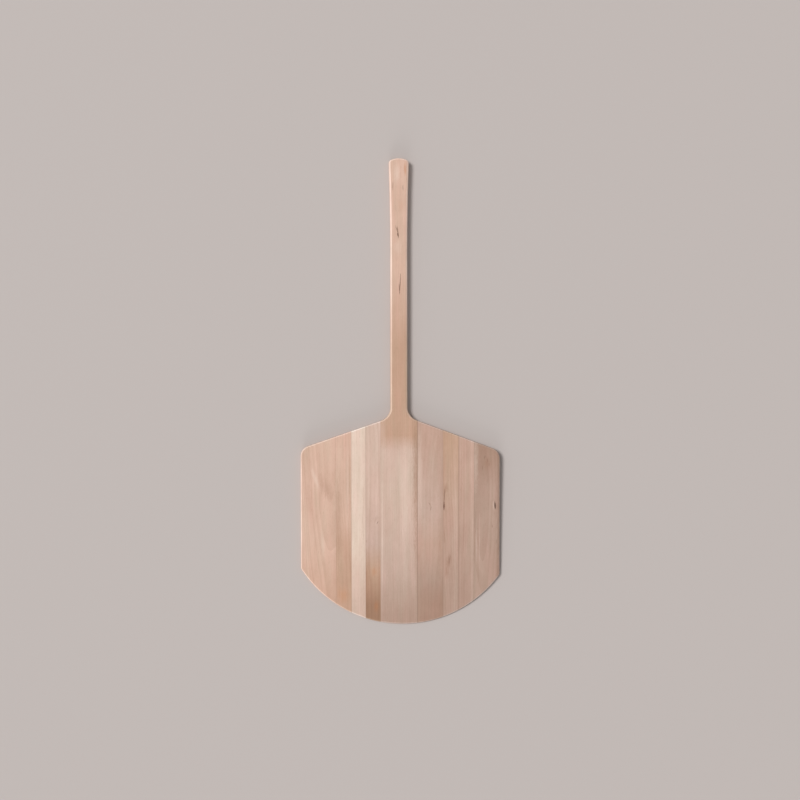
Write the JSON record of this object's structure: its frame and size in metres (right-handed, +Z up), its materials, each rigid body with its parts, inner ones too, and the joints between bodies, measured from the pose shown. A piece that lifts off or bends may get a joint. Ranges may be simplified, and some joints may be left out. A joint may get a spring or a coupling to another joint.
{
  "type": "pizza peel",
  "caption": "Wooden pizza peel: broad thin blade with sloping shoulders and a curved front edge, and a long flat handle in one line with it.",
  "frame": {"origin": "centre of the peel's length and width, on its flat underside", "axes": "+Y along the handle to its end, -Y to the front edge of the blade, +X to the right seen from above with the handle pointing away, +Z up out of the working face"},
  "size_m": [0.457, 1.07, 0.02],
  "materials": {
    "left_board_4_wood": "sanded, peach tan with faint open figure",
    "left_board_3_wood": "sanded, warm tan",
    "left_board_2_wood": "sanded, palest board, straight grain",
    "left_board_1_wood": "sanded, pinkish cream turning brown towards the front edge",
    "handle_board_wood": "sanded, cream on the blade, tan and hand-worn on the handle and neck",
    "right_board_1_wood": "sanded, pinkish cream",
    "right_board_2_wood": "sanded, pale tan with a few mineral streaks",
    "right_board_3_wood": "sanded, pale tan, straight grain",
    "right_board_4_wood": "sanded, tan, darker towards the shoulder"
  },
  "bodies": {
    "root": {"left_board_4": "left_board_4_wood", "left_board_3": "left_board_3_wood", "left_board_2": "left_board_2_wood", "left_board_1": "left_board_1_wood", "handle_board": "handle_board_wood", "right_board_1": "right_board_1_wood", "right_board_2": "right_board_2_wood", "right_board_3": "right_board_3_wood", "right_board_4": "right_board_4_wood"}
  },
  "joints": []
}
